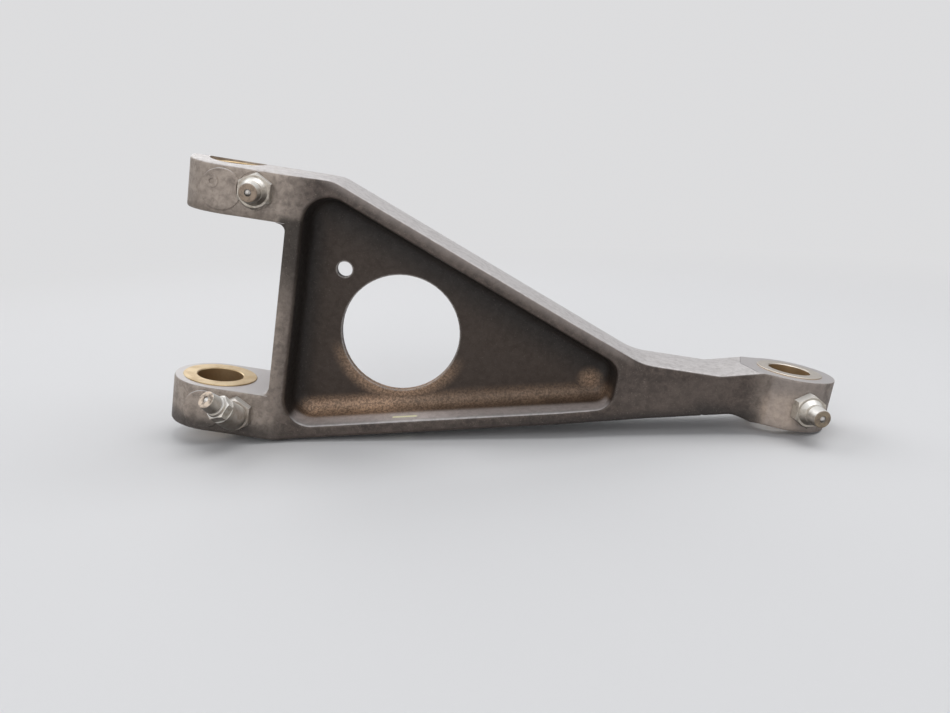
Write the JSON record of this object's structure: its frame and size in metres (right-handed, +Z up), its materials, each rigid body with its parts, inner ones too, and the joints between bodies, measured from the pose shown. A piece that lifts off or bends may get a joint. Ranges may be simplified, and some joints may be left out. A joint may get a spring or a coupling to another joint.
{
  "type": "torque link",
  "caption": "Cast landing-gear torque link: a forked, pocketed triangular arm with bronze bushes and grease fittings at its bores.",
  "frame": {"origin": "on the base bore axis, midway between the two base lugs", "axes": "+Z up as the link rests on a flat floor, +X level towards the apex bore, -Y towards the side with the grease fittings; the bores lean from +Z towards +X by the rest tilt of about 9.7 degrees"},
  "size_m": [0.2352, 0.0473, 0.0979],
  "materials": {
    "cast_steel": "rough cast, worn on the edges",
    "bush_bronze": "machined",
    "fitting_steel": "dull plated",
    "adapter_steel": "dull plated",
    "ball_steel": "polished",
    "spring_steel": "drawn wire"
  },
  "bodies": {
    "link": {"link_casting": "cast_steel", "upper_fork_bush": "bush_bronze", "lower_fork_bush": "bush_bronze", "upper_apex_bush": "bush_bronze", "lower_apex_bush": "bush_bronze", "lower_fitting_adapter": "adapter_steel", "upper_fitting_body": "fitting_steel", "upper_fitting_spring": "spring_steel", "lower_fitting_body": "fitting_steel", "lower_fitting_spring": "spring_steel", "apex_fitting_body": "fitting_steel", "apex_fitting_spring": "spring_steel"},
    "upper_ball": {"upper_fitting_ball": "ball_steel"},
    "lower_ball": {"lower_fitting_ball": "ball_steel"},
    "apex_ball": {"apex_fitting_ball": "ball_steel"}
  },
  "joints": [
    {"name": "upper_ball_travel", "type": "slide", "parent": "link", "child": "upper_ball", "axis": [0, 1, 0], "range_m": [0, 0.0008], "stiffness_N_per_m": 250, "springref_m": -0.001, "deforming": ["upper_fitting_spring"]},
    {"name": "lower_ball_travel", "type": "slide", "parent": "link", "child": "lower_ball", "axis": [0.3642, 0.6691, -0.6478], "range_m": [0, 0.0008], "stiffness_N_per_m": 250, "springref_m": -0.001, "deforming": ["lower_fitting_spring"]},
    {"name": "apex_ball_travel", "type": "slide", "parent": "link", "child": "apex_ball", "axis": [-0.1965, 0.9799, 0.0334], "range_m": [0, 0.0008], "stiffness_N_per_m": 250, "springref_m": -0.001, "deforming": ["apex_fitting_spring"]}
  ]
}
